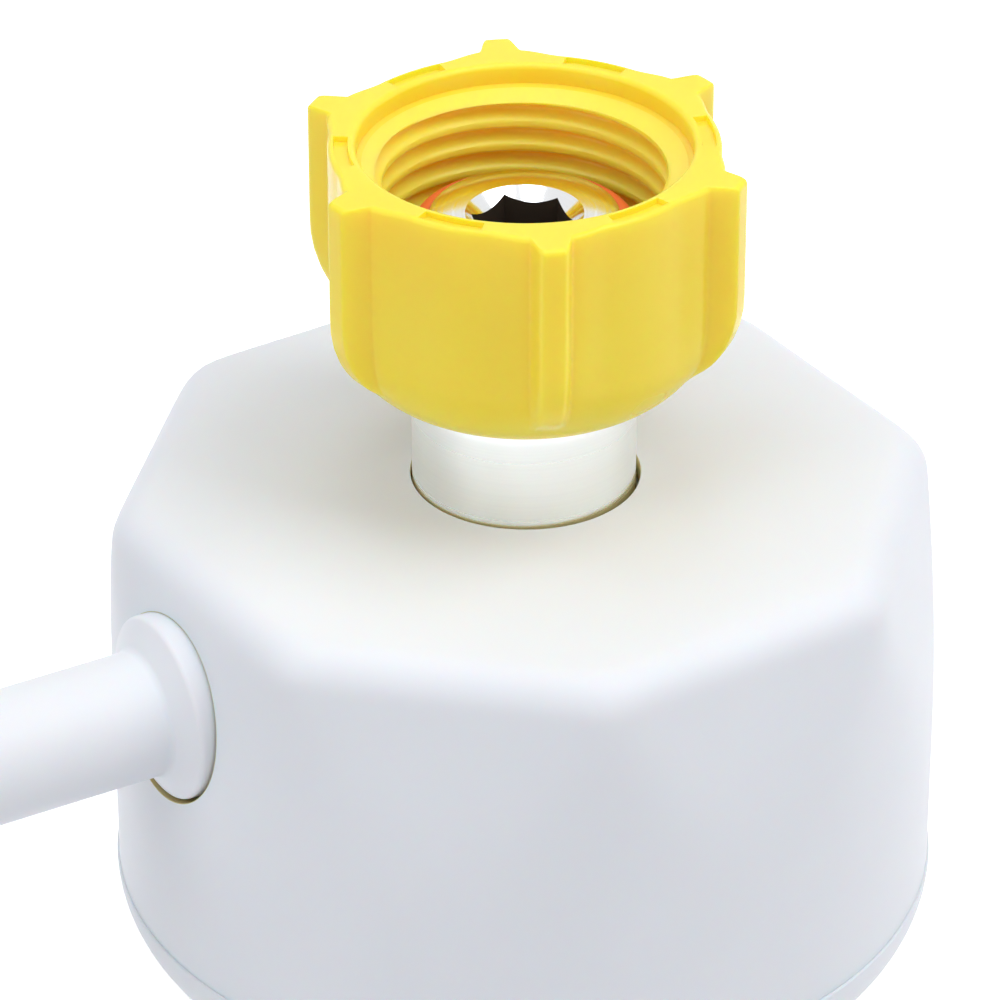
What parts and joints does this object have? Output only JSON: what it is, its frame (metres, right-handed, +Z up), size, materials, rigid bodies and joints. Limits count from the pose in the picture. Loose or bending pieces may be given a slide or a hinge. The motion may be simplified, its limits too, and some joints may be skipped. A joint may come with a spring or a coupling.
{
  "type": "suction canister",
  "caption": "Small round suction safety canister with a faceted white housing, a yellow winged hand nut on a bright sleeve over the vacuum spigot, and a side hose arm.",
  "frame": {"origin": "centre of the flat base face that the canister stands on", "axes": "+Z up along the axis of the housing, sleeve and hand nut; the hose arm points along -X"},
  "size_m": [0.1226, 0.0924, 0.1005],
  "materials": {
    "white_shell": "glossy moulded white",
    "white_inner": "plain moulded white",
    "yellow_plastic": "satin moulded yellow",
    "bright_aluminium": "bright turned",
    "chrome_brass": "polished plating",
    "orange_rubber": "moulded ring",
    "black_rubber": "moulded",
    "washer_plastic": "stamped sheet",
    "filter_felt": "pressed fibre",
    "float_plastic": "moulded foam",
    "spring_steel": "blanked strip",
    "screw_steel": "plated"
  },
  "bodies": {
    "cup": {"canister_cup": "white_shell"},
    "head": {"upper_housing": "white_shell", "manifold": "white_inner", "cup_seal": "black_rubber", "side_arm": "white_shell", "arm_seal": "black_rubber", "arm_clip": "spring_steel", "sleeve": "bright_aluminium", "spigot": "chrome_brass", "spigot_seal": "orange_rubber", "stem_gasket": "black_rubber", "thrust_washer_lower": "washer_plastic", "thrust_washer_upper": "washer_plastic", "filter_disc": "filter_felt", "filter_retainer": "white_inner", "valve_seat": "black_rubber", "float_cage": "white_inner", "cage_cap": "white_inner", "splash_baffle": "white_inner", "housing_screw_1": "screw_steel", "housing_screw_2": "screw_steel", "housing_screw_3": "screw_steel", "cage_screw_1": "screw_steel", "cage_screw_2": "screw_steel", "cage_screw_3": "screw_steel"},
    "nut": {"hand_nut": "yellow_plastic"},
    "float": {"valve_float": "float_plastic"}
  },
  "joints": [
    {"name": "head_lift", "type": "slide", "parent": "cup", "child": "head", "axis": [0, 0, 1], "range_m": [0, 0.036]},
    {"name": "nut_spin", "type": "hinge", "parent": "head", "child": "nut", "pos_m": [0, 0, 0.086], "axis": [0, 0, 1], "continuous": true},
    {"name": "float_rise", "type": "slide", "parent": "head", "child": "float", "axis": [0, 0, 1], "range_m": [0, 0.0102]}
  ]
}
